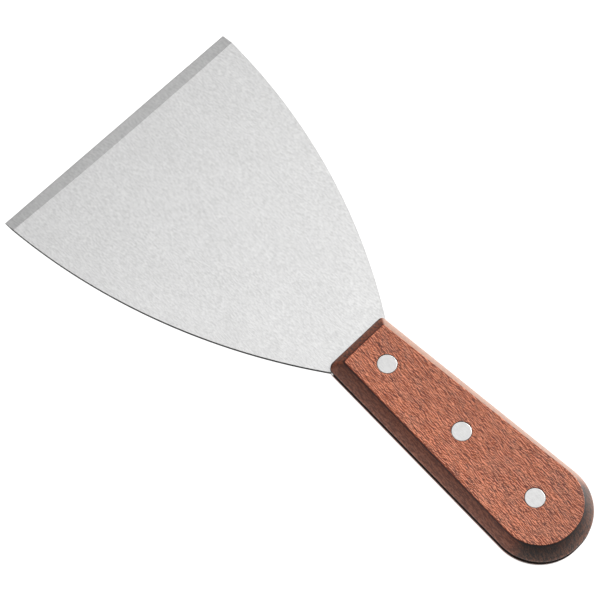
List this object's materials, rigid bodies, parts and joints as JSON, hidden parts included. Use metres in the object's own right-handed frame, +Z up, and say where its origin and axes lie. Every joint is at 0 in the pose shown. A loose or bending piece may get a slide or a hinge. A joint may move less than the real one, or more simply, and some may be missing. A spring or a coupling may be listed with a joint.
{
  "type": "bench scraper",
  "caption": "Hand scraper with a fan-shaped ground steel blade, full tang and riveted rosewood handle scales with chamfered edges.",
  "frame": {"origin": "on the resting face, under the middle of the tool's length and width", "axes": "+X from the cutting edge to the butt along the tool, +Y across the blade, +Z up out of the upper scale's face"},
  "size_m": [0.2098, 0.1016, 0.0144],
  "materials": {
    "blade_steel": "fine satin brushing along the tool, ground bevel brushed across the edge",
    "upper_scale_wood": "oiled rosewood, open short pores, satin",
    "lower_scale_wood": "oiled rosewood, open short pores, satin",
    "rivet_metal": "flush sanded, satin"
  },
  "bodies": {
    "root": {"blade_and_tang": "blade_steel", "handle_scale_upper": "upper_scale_wood", "handle_scale_lower": "lower_scale_wood", "rivet_barrel_front": "rivet_metal", "rivet_post_front": "rivet_metal", "rivet_barrel_middle": "rivet_metal", "rivet_post_middle": "rivet_metal", "rivet_barrel_rear": "rivet_metal", "rivet_post_rear": "rivet_metal"}
  },
  "joints": []
}
